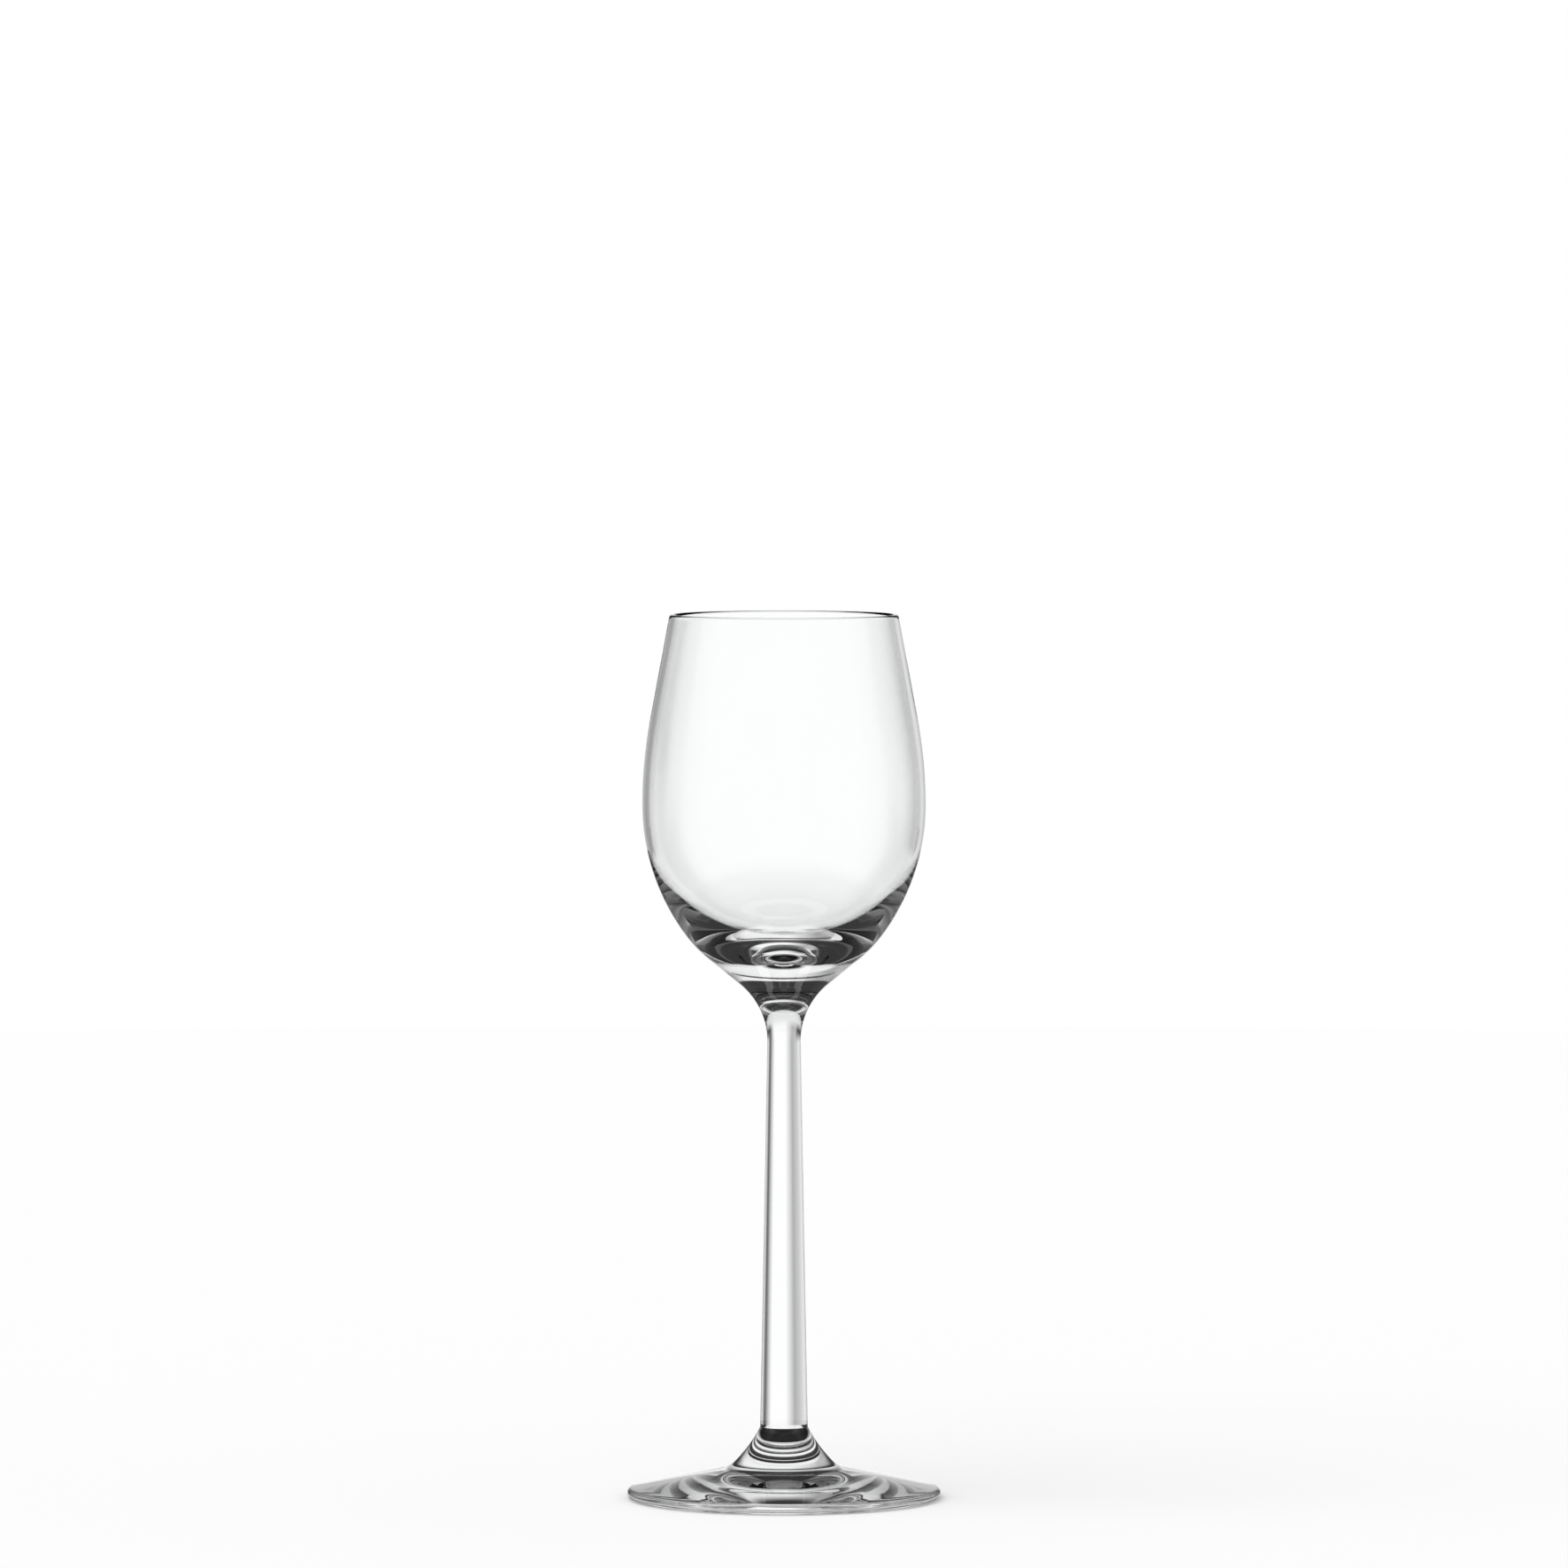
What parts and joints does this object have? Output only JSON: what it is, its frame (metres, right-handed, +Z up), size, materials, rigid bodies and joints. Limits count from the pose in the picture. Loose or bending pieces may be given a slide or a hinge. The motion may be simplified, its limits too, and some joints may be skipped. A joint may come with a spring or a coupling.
{
  "type": "liqueur glass",
  "caption": "Clear stemmed liqueur glass: a thin tulip bowl with a thick base on a slender tapered stem and a round, softly conical foot.",
  "frame": {"origin": "middle of the circle that the foot stands on, on the table", "axes": "+Z up along the axis of the stem and bowl; X and Y are free, because the glass is round"},
  "size_m": [0.0568, 0.0568, 0.16],
  "materials": {
    "clear_glass": "fire-polished clear"
  },
  "bodies": {
    "root": {"bowl": "clear_glass", "stem": "clear_glass", "foot": "clear_glass"}
  },
  "joints": []
}
